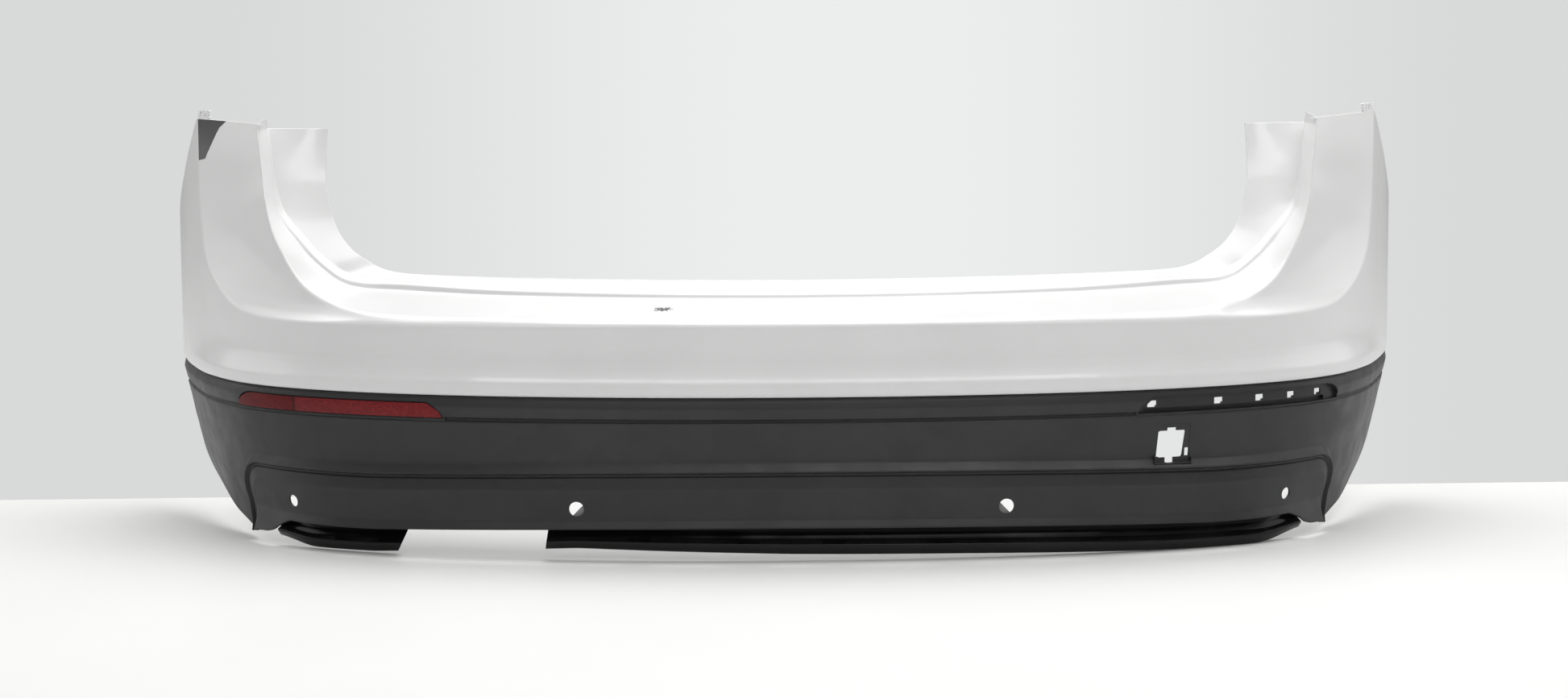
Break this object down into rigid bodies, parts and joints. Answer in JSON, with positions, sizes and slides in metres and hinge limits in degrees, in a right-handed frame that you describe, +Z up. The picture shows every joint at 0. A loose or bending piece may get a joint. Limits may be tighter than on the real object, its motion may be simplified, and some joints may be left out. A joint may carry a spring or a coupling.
{
  "type": "bumper cover",
  "caption": "Rear bumper cover of a compact sport utility vehicle: white painted upper cover with tall corner horns, grained black lower cover, gloss black lower trim and a red reflector.",
  "frame": {"origin": "middle of the footprint, at the lowest point of the lower trim", "axes": "+X to the car's right side as seen from behind, +Y to the front of the car, +Z up; the painted outer face looks to -Y"},
  "size_m": [1.8282, 0.5664, 0.6104],
  "materials": {
    "body_paint": "gloss white paint on plastic",
    "grained_plastic": "fine moulded grain, satin",
    "gloss_plastic": "piano black gloss",
    "holder_plastic": "plain moulded black",
    "lens": "clear red reflector plastic with prism cells",
    "spring_steel": "phosphated spring steel",
    "screw_steel": "zinc plated"
  },
  "bodies": {
    "root": {"upper_cover": "body_paint", "lower_cover": "grained_plastic", "lower_trim": "gloss_plastic", "reflector_housing_left": "holder_plastic", "reflector_lens_left": "lens", "sensor_holder_outer_left": "holder_plastic", "sensor_holder_inner_left": "holder_plastic", "sensor_holder_inner_right": "holder_plastic", "sensor_holder_outer_right": "holder_plastic", "seam_clip_1": "spring_steel", "seam_clip_2": "spring_steel", "seam_clip_3": "spring_steel", "seam_clip_4": "spring_steel", "seam_clip_5": "spring_steel", "seam_clip_6": "spring_steel", "seam_clip_7": "spring_steel", "seam_clip_8": "spring_steel", "seam_clip_9": "spring_steel", "seam_clip_10": "spring_steel", "seam_clip_11": "spring_steel", "trim_screw_1": "screw_steel", "trim_screw_2": "screw_steel", "trim_screw_3": "screw_steel", "trim_screw_4": "screw_steel", "trim_screw_5": "screw_steel", "trim_screw_6": "screw_steel", "trim_screw_7": "screw_steel", "trim_screw_8": "screw_steel", "arch_nut_left_low": "spring_steel", "arch_nut_left_mid": "spring_steel", "arch_nut_left_high": "spring_steel", "arch_nut_left_top": "spring_steel", "arch_nut_right_low": "spring_steel", "arch_nut_right_mid": "spring_steel", "arch_nut_right_high": "spring_steel", "arch_nut_right_top": "spring_steel"}
  },
  "joints": []
}
